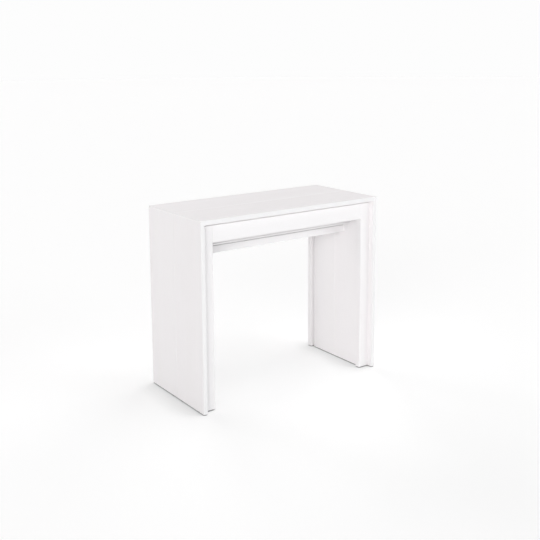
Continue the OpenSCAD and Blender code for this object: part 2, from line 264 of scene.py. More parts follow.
class Effect(ABC):
    """A shader node group that is built once and placed in each material that uses it."""

    title: ClassVar[str]
    takes: ClassVar[dict[str, str]]
    gives: ClassVar[dict[str, str]]

    def __init__(self) -> None:
        """Builds the group with its named inputs and outputs."""
        self.tree = bpy.data.node_groups.new(self.title, "ShaderNodeTree")
        for direction, sockets in (("INPUT", self.takes), ("OUTPUT", self.gives)):
            for label, kind in sockets.items():
                self.tree.interface.new_socket(name=label, in_out=direction, socket_type=kind)
        graph = NodeGraph(self.tree)
        given = graph.add("NodeGroupInput").outputs
        graph.add("NodeGroupOutput", self.build(graph, given))

    @abstractmethod
    def build(self, graph: NodeGraph, given: Sockets) -> Sockets:
        """Builds the inside of the group.

        Args:
            graph: the group's own graph.
            given: the group's inputs.

        Returns:
            A socket for each output.
        """

    @classmethod
    def put(cls, graph: NodeGraph, **inputs: object) -> Sockets:
        """Places the group in a material, and builds it at its first use.

        Args:
            graph: the material's graph.
            **inputs: a value or a socket for each input, by its name in small letters.

        Returns:
            The outputs of the placed group.
        """
        tree = bpy.data.node_groups.get(cls.title) or cls().tree
        filled = {name.capitalize(): given for name, given in inputs.items()}
        return graph.add("ShaderNodeGroup", filled, node_tree=tree).outputs


class BoxEdges(Effect):
    """Measures how deep a place lies under the outer faces of a board, and how far from its edges."""

    title = "Box edges"
    takes = {"Point": "NodeSocketVector", "Low": "NodeSocketVector", "High": "NodeSocketVector"}
    gives = {"Depth": "NodeSocketFloat", "Edge": "NodeSocketFloat"}

    def build(self, graph: NodeGraph, given: Sockets) -> Sockets:
        """Takes the smallest and the middle one of the distances to the three pairs of faces.

        Args:
            graph: the group's own graph.
            given: the place and the corners of the board's box.

        Returns:
            The depth and the distance from the edge.
        """
        above = graph.vector("SUBTRACT", given["Point"], given["Low"])
        below = graph.vector("SUBTRACT", given["High"], given["Point"])
        nearest = graph.parts(graph.vector("MINIMUM", above, below))
        least = graph.math("MINIMUM", nearest["X"], nearest["Y"])
        most = graph.math("MAXIMUM", nearest["X"], nearest["Y"])
        depth = graph.math("MINIMUM", least, nearest["Z"])
        edge = graph.math("MAXIMUM", least, graph.math("MINIMUM", most, nearest["Z"]))
        return {"Depth": depth, "Edge": edge}


class WoodGrain(Effect):
    """Open-pored grain along X: broad figure, fine fibre and short pores."""

    title = "Wood grain"
    takes = {"Point": "NodeSocketVector"}
    gives = {"Figure": "NodeSocketFloat", "Fibre": "NodeSocketFloat", "Pores": "NodeSocketFloat"}
    figure = ((1.1, 13.0, 13.0), 3.0)
    fibre = ((7.0, 330.0, 330.0), 3.0)
    pores = ((28.0, 800.0, 800.0), 1.0)
    pore_span = (0.58, 0.74)

    def build(self, graph: NodeGraph, given: Sockets) -> Sockets:
        """Stretches three noises along X and keeps the peaks of the finest as pores."""
        figure, fibre, pores = (graph.noise(given["Point"], *pattern)
                                for pattern in (self.figure, self.fibre, self.pores))
        return {"Figure": figure, "Fibre": fibre, "Pores": graph.ramp(pores, self.pore_span)}


class Chips(Effect):
    """Pressed wood chips, as a drilled hole shows them."""

    title = "Wood chips"
    takes = {"Point": "NodeSocketVector"}
    gives = {"Colour": "NodeSocketColor"}
    scale = 420.0
    dark = (0.30, 0.20, 0.11)
    light = (0.62, 0.47, 0.30)

    def build(self, graph: NodeGraph, given: Sockets) -> Sockets:
        """Gives each cell of a pattern its own shade of tan."""
        cells = graph.add("ShaderNodeTexVoronoi", {"Vector": given["Point"], "Scale": self.scale}).outputs
        return {"Colour": graph.mix(graph.parts(cells["Color"])["X"], self.dark, self.light)}


class DrawnLines(Effect):
    """Fine lines that a die or a brush leaves along X."""

    title = "Drawn lines"
    takes = {"Point": "NodeSocketVector"}
    gives = {"Lines": "NodeSocketFloat", "Bands": "NodeSocketFloat"}
    lines = ((1.5, 1900.0, 1900.0), 2.0)
    bands = ((0.6, 160.0, 160.0), 2.0)

    def build(self, graph: NodeGraph, given: Sockets) -> Sockets:
        """Stretches a fine and a broad noise far along X."""
        point = given["Point"]
        return {"Lines": graph.noise(point, *self.lines), "Bands": graph.noise(point, *self.bands)}


class Clouding(Effect):
    """Soft patches where hands and cloths have passed."""

    title = "Clouding"
    takes = {"Point": "NodeSocketVector", "Size": "NodeSocketFloat"}
    gives = {"Mask": "NodeSocketFloat"}
    patches = ((1.0, 1.0, 1.0), 4.0)
    patch_span = (0.35, 0.7)

    def build(self, graph: NodeGraph, given: Sockets) -> Sockets:
        """Spreads a noise so that its patches have about the given size.

        Args:
            graph: the group's own graph.
            given: the place, and the size in metres.

        Returns:
            The mask of the patches.
        """
        inputs = {"Vector": given["Point"], "Scale": graph.math("DIVIDE", 1.0, given["Size"])}
        scaled = graph.add("ShaderNodeVectorMath", inputs, operation="SCALE").outputs[0]
        return {"Mask": graph.ramp(graph.noise(scaled, *self.patches), self.patch_span)}


class EdgeWear(Effect):
    """Broken line of wear along the edges of a piece."""

    title = "Edge wear"
    takes = {"Point": "NodeSocketVector", "Edge": "NodeSocketFloat", "Width": "NodeSocketFloat"}
    gives = {"Mask": "NodeSocketFloat"}
    breaks = ((140.0, 140.0, 140.0), 3.0)
    wear_span = (1.1, 0.55)

    def build(self, graph: NodeGraph, given: Sockets) -> Sockets:
        """Fades from the edge over the width, broken up by a noise.

        Args:
            graph: the group's own graph.
            given: the place, its distance from the edge and the width.

        Returns:
            The mask of the wear.
        """
        share = graph.math("DIVIDE", given["Edge"], given["Width"])
        broken = graph.noise(given["Point"], *self.breaks)
        return {"Mask": graph.ramp(graph.math("ADD", share, broken), self.wear_span)}


def edges_of(graph: NodeGraph, node: str) -> Sockets:
    """Returns the depth and the distance from the edges of a CAD node's box."""
    low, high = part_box(node)
    return BoxEdges.put(graph, point=graph.place(), low=tuple(low), high=tuple(high))


def clouded(graph: NodeGraph, size: float) -> Socket:
    """Returns the mask of clouded patches of about the given size."""
    return Clouding.put(graph, point=graph.place(), size=size)["Mask"]


@dataclass(frozen=True)
class BoardFinish:
    """White open-pored laminate on pressed chips, with a plain band glued round the edges."""

    face: Colour = (0.868, 0.845, 0.853)
    figure: Colour = (0.860, 0.835, 0.842)
    pore: Colour = (0.76, 0.72, 0.72)
    band: Colour = (0.838, 0.822, 0.828)
    # Painted highlight: the top is paler along its meeting edge, standing in for light that the small bevels
    # there catch.
    joint: Colour = (0.935, 0.925, 0.930)
    glue: Colour = (0.70, 0.67, 0.65)
    roughness: Span = (0.56, 0.63)
    pore_roughness: float = 0.2
    cloud_size: float = 160 * MM
    grain_shift: float = 7.0
    figure_span: Span = (0.35, 0.7)
    fibre_span: Span = (0.2, 0.8)
    fibre_relief: float = 0.2
    pore_share: Span = (0.06, 0.25)
    pore_depth: float = 0.05 * MM
    edge_facing: Span = (0.8, 0.6)
    seam_at: float = 1.3 * MM
    seam_w: float = 0.3 * MM
    seam_share: float = 0.2
    joint_fade: float = 0.9
    skin: Span = (0.65 * MM, 0.78 * MM)

    def material(self, node: str, grain: Grain, banded: bool, joint_w: float) -> Material:
        """Makes the finish of one board.

        Args:
            node: the CAD node, which gives the board's box.
            grain: the direction of the grain.
            banded: whether the board has edge bands, and chips inside its holes.
            joint_w: width of the painted highlight along the meeting edge, or 0 where it has none.

        Returns:
            The material.
        """
        material, graph = new_material(f"white_board_{node}")
        low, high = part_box(node)
        size = high - low
        grained = WoodGrain.put(graph, point=graph.laid(grain, low * self.grain_shift))
        edges = edges_of(graph, node)
        clouds = clouded(graph, self.cloud_size)
        pores = grained["Pores"]
        pored = graph.math("MULTIPLY", pores, graph.ramp(grained["Fibre"], self.fibre_span, self.pore_share))
        tone = graph.mix(graph.ramp(grained["Figure"], self.figure_span), self.face, self.figure)
        tone = graph.mix(pored, tone, self.pore)
        if banded:
            thin = AXES[min(range(3), key=lambda axis: size[axis])]
            normal = graph.add("ShaderNodeTexCoord").outputs["Normal"]
            on_edge = graph.ramp(graph.math("ABSOLUTE", graph.parts(normal)[thin]), self.edge_facing)
            on_rim = graph.ramp(edges["Edge"], (self.seam_at, self.seam_at - self.seam_w))
            on_band = graph.math("MAXIMUM", on_edge, on_rim)
            pores = graph.math("MULTIPLY", pores, graph.math("SUBTRACT", 1.0, on_band))
            tone = graph.mix(on_band, tone, self.band)
            off_seam = graph.math("ABSOLUTE", graph.math("SUBTRACT", edges["Edge"], self.seam_at))
            seam = graph.math("MULTIPLY", graph.ramp(off_seam, (self.seam_w, 0.0)),
                              graph.math("SUBTRACT", 1.0, on_edge))
            tone = graph.mix(graph.math("MULTIPLY", seam, self.seam_share), tone, self.glue)
            # Painted highlight: a paler band along the meeting edge stands in for light caught by its bevels.
            if joint_w:
                off_joint = graph.math("ABSOLUTE", graph.parts(graph.place())["Y"])
                on_joint_highlight = graph.ramp(off_joint, (joint_w, joint_w * self.joint_fade))
                tone = graph.mix(on_joint_highlight, tone, self.joint)
            chips = Chips.put(graph, point=graph.place())["Colour"]
            tone = graph.mix(graph.ramp(edges["Depth"], self.skin), tone, chips)
        relief = graph.math("SUBTRACT", graph.math("MULTIPLY", grained["Fibre"], self.fibre_relief), pores)
        rough_pores = graph.math("MULTIPLY", pores, self.pore_roughness)
        graph.finish({
            "Base Color": tone,
            "Roughness": graph.math("ADD", graph.ramp(clouds, ends=self.roughness), rough_pores),
            "Normal": graph.relief(relief, self.pore_depth),
        })
        return material


@dataclass(frozen=True)
class MetalFinish:
    """Bare metal with fine lines along its length, dulled in patches and bright along worn edges."""

    name: str
    colour: Colour
    dull: Colour
    roughness: Span
    line_depth: float
    line_roughness: Span = (-0.05, 0.05)
    noise_span: Span = (0.3, 0.7)
    band_share: Span = (0.0, 0.5)
    cloud_size: float = 30 * MM
    cloud_share: float = 0.4
    wear_w: float = 1.2 * MM
    wear_polish: float = 0.08

    def material(self, node: str, grain: Grain) -> Material:
        """Makes the finish of one metal piece.

        Args:
            node: the CAD node, which gives the piece's box.
            grain: the direction of the lines.

        Returns:
            The material.
        """
        material, graph = new_material(f"{self.name}_{node}")
        drawn = DrawnLines.put(graph, point=graph.laid(grain))
        edge = edges_of(graph, node)["Edge"]
        clouds = clouded(graph, self.cloud_size)
        wear = EdgeWear.put(graph, point=graph.place(), edge=edge, width=self.wear_w)["Mask"]
        tone = graph.mix(graph.ramp(drawn["Bands"], self.noise_span, self.band_share), self.colour, self.dull)
        tone = graph.mix(graph.math("MULTIPLY", clouds, self.cloud_share), tone, self.dull)
        rough = graph.math("ADD", graph.ramp(clouds, ends=self.roughness),
                           graph.ramp(drawn["Lines"], self.noise_span, self.line_roughness))
        graph.finish({
            "Base Color": graph.mix(wear, tone, self.colour),
            "Metallic": 1.0,
            "Roughness": graph.math("SUBTRACT", rough, graph.math("MULTIPLY", wear, self.wear_polish)),
            "Normal": graph.relief(drawn["Lines"], self.line_depth),
        })
        return material


@dataclass(frozen=True)
class MouldedFinish:
    """Black plastic with the fine texture of its mould, greyer where it rubs."""

    colour: Colour = (0.022, 0.022, 0.024)
    rubbed: Colour = (0.075, 0.074, 0.072)
    roughness: Span = (0.5, 0.65)
    texture: Pattern = ((2600.0, 2600.0, 2600.0), 1.0)
    texture_depth: float = 0.02 * MM
    cloud_size: float = 6 * MM
    rubbed_share: float = 0.5

    def material(self, name: str) -> Material:
        """Makes the plastic.

        Args:
            name: what the plastic is on.

        Returns:
            The material.
        """
        material, graph = new_material(f"black_plastic_{name}")
        texture = graph.noise(graph.place(), *self.texture)
        clouds = clouded(graph, self.cloud_size)
        share = graph.math("MULTIPLY", clouds, self.rubbed_share)
        graph.finish({
            "Base Color": graph.mix(share, self.colour, self.rubbed),
            "Roughness": graph.ramp(clouds, ends=self.roughness),
            "Normal": graph.relief(texture, self.texture_depth),
        })
        return material


@dataclass(frozen=True)
class BeechFinish:
    """Raw beech with its grain along a dowel, and short darker flecks."""

    light: Colour = (0.62, 0.42, 0.24)
    dark: Colour = (0.48, 0.30, 0.16)
    fleck: Colour = (0.30, 0.17, 0.08)
    roughness: Span = (0.62, 0.72)
    tone_span: Span = (0.3, 0.7)
    roughness_span: Span = (0.2, 0.8)
    fleck_share: float = 0.7
    fibre_depth: float = 0.06 * MM

    def material(self) -> Material:
        """Makes the wood, with the grain along Y.

        Returns:
            The material.
        """
        material, graph = new_material("beech_dowels")
        grained = WoodGrain.put(graph, point=graph.laid(Grain.ALONG_Y))
        tone = graph.mix(graph.ramp(grained["Fibre"], self.tone_span), self.light, self.dark)
        flecks = graph.math("MULTIPLY", grained["Pores"], self.fleck_share)
        graph.finish({
            "Base Color": graph.mix(flecks, tone, self.fleck),
            "Roughness": graph.ramp(grained["Fibre"], self.roughness_span, self.roughness),
            "Normal": graph.relief(grained["Fibre"], self.fibre_depth),
        })
        return material


ALUMINIUM = MetalFinish("aluminium", colour=(0.60, 0.61, 0.62), dull=(0.43, 0.435, 0.445),
                        roughness=(0.38, 0.50), line_depth=0.012 * MM)
ZINC = MetalFinish("zinc", colour=(0.57, 0.585, 0.61), dull=(0.40, 0.415, 0.435),
                   roughness=(0.34, 0.46), line_depth=0.006 * MM)


def dress(node: str, material: Material) -> None:
    """Gives a CAD node its material.

    Args:
        node: the node's name.
        material: its finish.
    """
    slots = NODES[node].data.materials
    slots.clear()
    slots.append(material)
    LOG.info("%s is dressed in %s", node, material.name)


def solids_of(node: str) -> list[Box]:
    """Finds the separate solids of a CAD node.

    Args:
        node: the node's name.

    Returns:
        The lowest and highest corner of each solid, in order of place.
    """
    shape = bmesh.new()
    shape.from_mesh(NODES[node].data)
    bmesh.ops.remove_doubles(shape, verts=shape.verts, dist=MERGE)
    waiting = set(shape.verts)
    boxes = []
    while waiting:
        front = [waiting.pop()]
        corners = []
        while front:
            corner = front.pop()
            corners.append(corner.co.copy())
            beside = {edge.other_vert(corner) for edge in corner.link_edges} & waiting
            waiting -= beside
            front.extend(beside)
        low = Vector(min(corner[axis] for corner in corners) for axis in range(3))
        high = Vector(max(corner[axis] for corner in corners) for axis in range(3))
        boxes.append((low, high))
    shape.free()
    return sorted(boxes, key=lambda box: tuple(box[0]))


def upright_solids(node: str, lift: float = 0.0) -> tuple[float, float, list[Vector]]:
    """Measures the like, upright solids of a CAD node.

    Args:
        node: the node's name.
        lift: height of a copy's own origin over the foot of its solid.

    Returns:
        The radius and the height of one solid, and the place of each copy.
    """
    solids = solids_of(node)
    low, high = solids[0]
    places = [Vector(((a.x + b.x) / 2, (a.y + b.y) / 2, a.z + lift)) for a, b in solids]
    return (high.x - low.x) / 2, high.z - low.z, places


def quarter_turn(steps: int) -> list[float]:
    """Returns the turns from none to a quarter in equal steps, in radians."""
    return [math.radians(90 * step / steps) for step in range(steps + 1)]


def revolved(outline: Sequence[Span], segments: int, closed: bool = False) -> Shape:
    """Turns an outline round Z.

    Args:
        outline: radius and height of each point.
        segments: number of steps in a full turn.
        closed: whether the outline runs back to its first point.

    Returns:
        The turned shape, with its doubles merged.
    """
    shape = bmesh.new()
    rim = [shape.verts.new((radius, 0.0, height)) for radius, height in outline]
    pairs = list(zip(rim, rim[1:]))
    if closed:
        pairs.append((rim[-1], rim[0]))
    edges = [shape.edges.new(pair) for pair in pairs]
    bmesh.ops.spin(shape, geom=rim + edges, axis=(0, 0, 1), cent=(0, 0, 0), angle=math.tau,
                   steps=segments, use_merge=True)
    bmesh.ops.remove_doubles(shape, verts=shape.verts, dist=MERGE / 10)
    return shape


def sink_drive(shape: Shape, drive: Drive, size: float, depth: float) -> None:
    """Sinks a driver's recess into the open middle of a screw head that faces down.

    Args:
        shape: the head, with one round hole in it.
        drive: the kind of recess.
        size: the recess's size, as the drive takes it.
        depth: how far it goes in.
    """
    rim = [edge for edge in shape.edges if edge.is_boundary]
    mouth = bmesh.ops.extrude_edge_only(shape, edges=rim)["geom"]
    for corner in (part for part in mouth if isinstance(part, bmesh.types.BMVert)):
        turn = math.atan2(corner.co.y, corner.co.x)
        reach = drive.radius(turn, size)
        corner.co.xy = (reach * math.cos(turn), reach * math.sin(turn))
    lip = [part for part in mouth if isinstance(part, bmesh.types.BMEdge)]
    floor = bmesh.ops.extrude_edge_only(shape, edges=lip)["geom"]
    bottom = [part for part in floor if isinstance(part, bmesh.types.BMVert)]
    bmesh.ops.scale(shape, vec=(drive.value, drive.value, 1.0), verts=bottom)
    bmesh.ops.translate(shape, vec=(0.0, 0.0, depth), verts=bottom)
    bmesh.ops.contextual_create(shape, geom=[part for part in floor if isinstance(part, bmesh.types.BMEdge)])


def wind_thread(shape: Shape, root: float, crest: float, start: float, length: float, pitch: float) -> None:
    """Winds a thread round a shank.

    Args:
        shape: the screw.
        root: radius at the foot of the thread, just inside the shank.
        crest: radius at its crest.
        start: height of its first turn.
        length: height over all its turns.
        pitch: height of one turn.
    """
    steps_a_turn = 12
    flank_share = 0.3
    steps = round(length / pitch * steps_a_turn)
    flank = pitch * flank_share
    corners = [shape.verts.new(point) for point in
               ((root, 0.0, start - flank), (crest, 0.0, start), (root, 0.0, start + flank))]
    face = shape.faces.new(corners)
    bmesh.ops.spin(shape, geom=[*corners, *face.edges, face], axis=(0, 0, 1), cent=(0, 0, 0),
                   dvec=(0.0, 0.0, pitch / steps_a_turn), angle=math.tau * steps / steps_a_turn, steps=steps)


def repeated(template: Shape, places: Sequence[Vector]) -> Shape:
    """Copies a shape to several places.

    Args:
        template: the shape at the origin, which is freed.
        places: where its copies stand.

    Returns:
        One shape with all the copies.
    """
    mesh = bpy.data.meshes.new("template")
    bmesh.ops.recalc_face_normals(template, faces=template.faces)
    template.to_mesh(mesh)
    template.free()
    joined = bmesh.new()
    for place in places:
        before = len(joined.verts)
        joined.from_mesh(mesh)
        joined.verts.ensure_lookup_table()
        bmesh.ops.translate(joined, vec=place, verts=joined.verts[before:])
    bpy.data.meshes.remove(mesh)
    return joined


def make_piece(name: str, shape: Shape, material: Material, body: str,
               replaced: Sequence[str] = ()) -> None:
    """Turns a shape into a piece of the table.

    Args:
        name: the piece's name.
        shape: its shape in the table's frame, which is freed.
        material: its finish.
        body: the CAD body that it rides on.
        replaced: the CAD nodes that it stands for.
    """
    mesh = bpy.data.meshes.new(name)
    shape.to_mesh(mesh)
    shape.free()
    mesh.materials.append(material)
    mesh.shade_smooth()
    mesh.set_sharp_from_angle(angle=SMOOTH_BELOW)
    piece = bpy.data.objects.new(name, mesh)
    bpy.context.scene.collection.objects.link(piece)
    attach(piece, body)
    if replaced:
        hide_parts(*replaced)
    LOG.info("%s rides on %s with %d faces", name, body, len(mesh.polygons))


@dataclass
class TableHalf:
    """Boards, posts and rails of one half of the table."""

    half: Half
    finish: BoardFinish
    cross_parts: tuple[str, ...] = ("top", "apron", "bearer", "stretcher")
    leg_parts: tuple[str, ...] = ("gable", "post", "lining", "stile", "leg_blocks")
    banded_parts: tuple[str, ...] = ("top", "gable")
    jointed_part: str = "top"
    # Width of the painted highlight along the top's meeting edge.
    joint_w: float = 2 * MM

    def build(self) -> None:
        """Dresses each board, with its grain along its length."""
        for part in self.cross_parts:
            self._dress(f"{self.half.word}_{part}", Grain.ALONG_X)
        for side in Side:
            for part in self.leg_parts:
                self._dress(f"{self.half.word}_{side.word}_{part}", Grain.ALONG_Z)

    def _dress(self, node: str, grain: Grain) -> None:
        """Dresses one board.

        Args:
            node: the board's CAD node.
            grain: the direction of its grain.
        """
        banded = node.endswith(self.banded_parts)
        joint_w = self.joint_w if node.endswith(self.jointed_part) else 0.0
        dress(node, self.finish.material(node, grain, banded, joint_w))


@dataclass
class Glides:
    """Nailed glides under one half: a black disc with a rounded rim and a steel nail."""

    half: Half
    plastic: MouldedFinish
    metal: MetalFinish
    disc_h: float = 4 * MM
    top_edge: float = 0.4 * MM
    rim_r: float = 1.4 * MM
    rim_steps: int = 5
    dish_r: float = 4.2 * MM
    dish_slope: float = 0.5 * MM
    dish_depth: float = 1.1 * MM
    nail_r: float = 1.5 * MM
    nail_tip_l: float = 3 * MM
    nail_head_r: float = 3.0 * MM
    nail_dome: tuple[Span, ...] = ((0.0, 0.3 * MM), (0.6, 0.42 * MM), (0.9, 0.68 * MM))
    segments: int = 32

    def build(self) -> None:
        """Makes the discs and the nails at the places of the CAD glides."""
        node = f"{self.half.word}_glides"
        radius, height, places = upright_solids(node)
        disc = revolved(self._disc_outline(radius), self.segments, closed=True)
        nail = revolved(self._nail_outline(height), self.segments // 2)
        black = self.plastic.material(node)
        steel = self.metal.material(node, Grain.ALONG_Z)
        make_piece(f"{node}_discs", repeated(disc, places), black, self.half.body, [node])
        make_piece(f"{node}_nails", repeated(nail, places), steel, self.half.body)

    def _disc_outline(self, radius: float) -> list[Span]:
        """Draws the disc from its hole at the top, round the rim, to the dish below.

        Args:
            radius: radius of the disc.

        Returns:
            Radius and height of each point.
        """
        upper = [(self.nail_r, self.disc_h), (radius - self.top_edge, self.disc_h),
                 (radius, self.disc_h - self.top_edge)]
        rim = [(radius - self.rim_r * (1 - math.cos(turn)), self.rim_r * (1 - math.sin(turn)))
               for turn in quarter_turn(self.rim_steps)]
        dish = [(self.dish_r, 0.0), (self.dish_r - self.dish_slope, self.dish_depth),
                (self.nail_r, self.dish_depth)]
        return upper + rim + dish

    def _nail_outline(self, length: float) -> list[Span]:
        """Draws the nail from the middle of its domed head to its point.

        Args:
            length: length of the nail.

        Returns:
            Radius and height of each point.
        """
        dome = [(self.nail_head_r * share, height) for share, height in self.nail_dome]
        return [*dome, (self.nail_head_r, self.dish_depth), (self.nail_r, self.dish_depth),
                (self.nail_r, length - self.nail_tip_l), (0.0, length)]


@dataclass
class RunnerScrews:
    """Pan-head screws that hold the end runners of one half under its top."""

    half: Half
    metal: MetalFinish
    head_h: float = 2.4 * MM
    dome_steps: int = 6
    neck_l: float = 0.6 * MM
    shank_r: float = 1.55 * MM
    tip_l: float = 4 * MM
    crest_r: float = 2.0 * MM
    root_share: float = 0.9
    thread_from: float = 2 * MM
    pitch: float = 1.8 * MM
    drive_size: float = 1.9 * MM
    drive_depth: float = 1.5 * MM
    mouth_share: float = 1.08
    segments: int = 24

    def build(self) -> None:
        """Makes the screws at the places of the CAD screws."""
        node = f"{self.half.word}_runner_screws"
        radius, height, places = upright_solids(node, self.head_h)
        screw = self._screw(radius, height - self.head_h)
        steel = self.metal.material(node, Grain.ALONG_Z)
        make_piece(f"{node}_threaded", repeated(screw, places), steel, self.half.body, [node])

    def _screw(self, head_r: float, length: float) -> Shape:
        """Makes one screw with the seat of its head at the origin and its shank up.

        Args:
            head_r: radius of the head.
            length: length of the shank.

        Returns:
            The screw.
        """
        mouth = math.asin(self.drive_size * self.mouth_share / head_r)
        turns = [mouth + (QUARTER - mouth) * step / self.dome_steps for step in range(self.dome_steps + 1)]
        dome = [(head_r * math.sin(turn), -self.head_h * math.cos(turn)) for turn in turns]
        tip = length - self.tip_l
        screw = revolved([*dome, (self.crest_r, 0.0), (self.shank_r, self.neck_l), (self.shank_r, tip),
                          (0.0, length)], self.segments)
        sink_drive(screw, Drive.CROSS, self.drive_size, self.drive_depth)
        wind_thread(screw, self.shank_r * self.root_share, self.crest_r, self.thread_from,
                    tip - self.thread_from, self.pitch)
        return screw


@dataclass
class LatchScrews:
    """Shouldered screws that the latches turn on, or hook over."""

    node: str
    body: str
    metal: MetalFinish
    head_h: float = 2.5 * MM
    edge_r: float = 0.7 * MM
    edge_steps: int = 3
    shoulder_r: float = 4 * MM
    shoulder_l: float = 4 * MM
    shank_r: float = 2 * MM
    drive_size: float = 2.5 * MM
    drive_depth: float = 1.9 * MM
    mouth_share: float = 1.25
    segments: int = 48

    def build(self) -> None:
        """Makes the screws at the places of the CAD screws."""
        radius, height, places = upright_solids(self.node)
        screw = self._screw(radius, height)
        steel = self.metal.material(self.node, Grain.ALONG_Z)
        make_piece(f"{self.node}_turned", repeated(screw, places), steel, self.body,
                   [self.node])

    def _screw(self, head_r: float, height: float) -> Shape:
        """Makes one screw that stands on the face of its head.

        Args:
            head_r: radius of the head.
            height: height over head, shoulder and shank.

        Returns:
            The screw.
        """
        bends = [(self.edge_r * (1 - math.sin(turn)), self.edge_r * (1 - math.cos(turn)))
                 for turn in quarter_turn(self.edge_steps)]
        lower = [(head_r - inward, upward) for inward, upward in bends]
        upper = [(head_r - inward, self.head_h - downward) for downward, inward in bends]
        top = self.head_h + self.shoulder_l
        screw = revolved([(self.drive_size * self.mouth_share, 0.0), *lower, *upper,
                          (self.shoulder_r, self.head_h), (self.shoulder_r, top), (self.shank_r, top),
                          (self.shank_r, height - self.shank_r), (0.0, height)], self.segments)
        sink_drive(screw, Drive.HEXAGON, self.drive_size, self.drive_depth)
        return screw


@dataclass
class Rivets:
    """Rivets of one crossbar, two at each end, up through its web into the runners."""

    stage: int
    metal: MetalFinish
    spread: float = 5 * MM
    inset: float = 6 * MM
    bar_web: float = 2 * MM
    pad_h: float = 1 * MM
    head_r: float = 3.5 * MM
    head_h: float = 1.3 * MM
    rim_h: float = 0.15 * MM
    dome: tuple[Span, ...] = ((0.55, 0.97), (0.85, 0.6))
    dimple_r: Span = (0.8 * MM, 1.0 * MM)
    dimple_floor: float = 0.5 * MM
    pin_r: float = 1.6 * MM
    pin_l: float = 1.5 * MM
    segments: int = 24

    def build(self) -> None:
        """Makes the rivets at the ends of the bar."""
        node = f"stage_{self.stage}_crossbar"
        low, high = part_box(node)
        reach = high.x - self.inset
        middle = (low.y + high.y) / 2
        web = high.z - self.pad_h - self.bar_web
        places = [Vector((side.value * reach, middle + along * self.spread, web))
                  for side in Side for along in (-1, 1)]
        outline = [
            (0.0, -self.dimple_floor), (self.dimple_r[0], -self.dimple_floor),
            (self.dimple_r[1], -self.head_h),
            *((self.head_r * across, -self.head_h * down) for across, down in self.dome),
            (self.head_r, -self.rim_h), (self.head_r, 0.0),
            (self.pin_r, 0.0), (self.pin_r, self.pin_l), (0.0, self.pin_l),
        ]
        metal = self.metal.material(node, Grain.ALONG_Z)
        make_piece(f"stage_{self.stage}_rivets", repeated(revolved(outline, self.segments), places), metal,
                   f"stage_{self.stage}")


@dataclass
class RunnerGroup:
    """Interlocking runners, their packers and the riveted bars that join left to right."""

    extrusion: MetalFinish
    sheet: MetalFinish
    plastic: MouldedFinish
    stages: range = range(1, 6)

    def build(self) -> None:
        """Dresses runners, packers and bars and makes the rivets."""
        for half in Half:
            for side in Side:
                self._runner(f"{half.word}_{side.word}_end_runner")
            node = f"{half.word}_runner_packers"
            dress(node, self.plastic.material(node))
        for stage in self.stages:
            for side in Side:
                self._runner(f"stage_{stage}_{side.word}_runner")
            node = f"stage_{stage}_crossbar"
            dress(node, self.sheet.material(node, Grain.ALONG_X))
            Rivets(stage, self.extrusion).build()

    def _runner(self, node: str) -> None:
        """Dresses one runner, with its lines along its length."""
        dress(node, self.extrusion.material(node, Grain.ALONG_Y))


@dataclass
class Dowels:
    """Fluted dowels that line up the two halves."""

    wood: BeechFinish
    flutes: int = 16
    flute_depth: float = 0.35 * MM
    chamfer: float = 1 * MM
    node: str = "meeting_dowels"

    def build(self) -> None:
        """Makes the dowels at the places of the CAD dowels."""
        solids = solids_of(self.node)
        low, high = solids[0]
        places = [Vector(((a.x + b.x) / 2, a.y, (a.z + b.z) / 2)) for a, b in solids]
        dowel = self._dowel((high.x - low.x) / 2, high.y - low.y)
        make_piece(f"{self.node}_fluted", repeated(dowel, places), self.wood.material(),
                   Half.FRONT.body, [self.node])

    def _dowel(self, radius: float, length: float) -> Shape:
        """Makes one dowel along Y from the origin.

        Args:
            radius: radius over the ridges.
            length: length over the chamfers.

        Returns:
            The dowel.
        """
        shape = bmesh.new()
        rim = bmesh.ops.create_circle(shape, cap_ends=True, segments=2 * self.flutes, radius=radius)["verts"]
        for corner in rim[::2]:
            corner.co *= 1 - self.flute_depth / radius
        bmesh.ops.rotate(shape, verts=shape.verts, cent=(0, 0, 0), matrix=Matrix.Rotation(-QUARTER, 3, "X"))
        narrow = 1 - self.chamfer / radius
        bmesh.ops.scale(shape, vec=(narrow, 1.0, narrow), verts=shape.verts)
        straight = length - 2 * self.chamfer
        for step, width in ((self.chamfer, 1 / narrow), (straight, 1.0), (self.chamfer, narrow)):
            self._grow(shape, step, width)
        return shape

    @staticmethod
    def _grow(shape: Shape, step: float, width: float) -> None:
        """Draws the far end of a dowel out and widens it.

        Args:
            shape: the dowel so far.
            step: how far its end moves along Y.
            width: the factor by which the moved end is wider.
        """
        end = max(shape.faces, key=lambda face: face.calc_center_median().y)
        grown = bmesh.ops.extrude_face_region(shape, geom=[end])["geom"]
        corners = [part for part in grown if isinstance(part, bmesh.types.BMVert)]
        bmesh.ops.translate(shape, vec=(0.0, step, 0.0), verts=corners)
        bmesh.ops.scale(shape, vec=(width, 1.0, width), verts=corners)


@dataclass
class Latches:
    """Hooks under the meeting edges, with the screws that they turn on and catch."""

    metal: MetalFinish

    def build(self) -> None:
        """Dresses the hooks and makes their screws."""
        for side in Side:
            node = f"{side.word}_latch"
            dress(node, self.metal.material(node, Grain.ALONG_X))
        LatchScrews("latch_pivots", Half.REAR.body, self.metal).build()
        LatchScrews("latch_studs", Half.FRONT.body, self.metal).build()


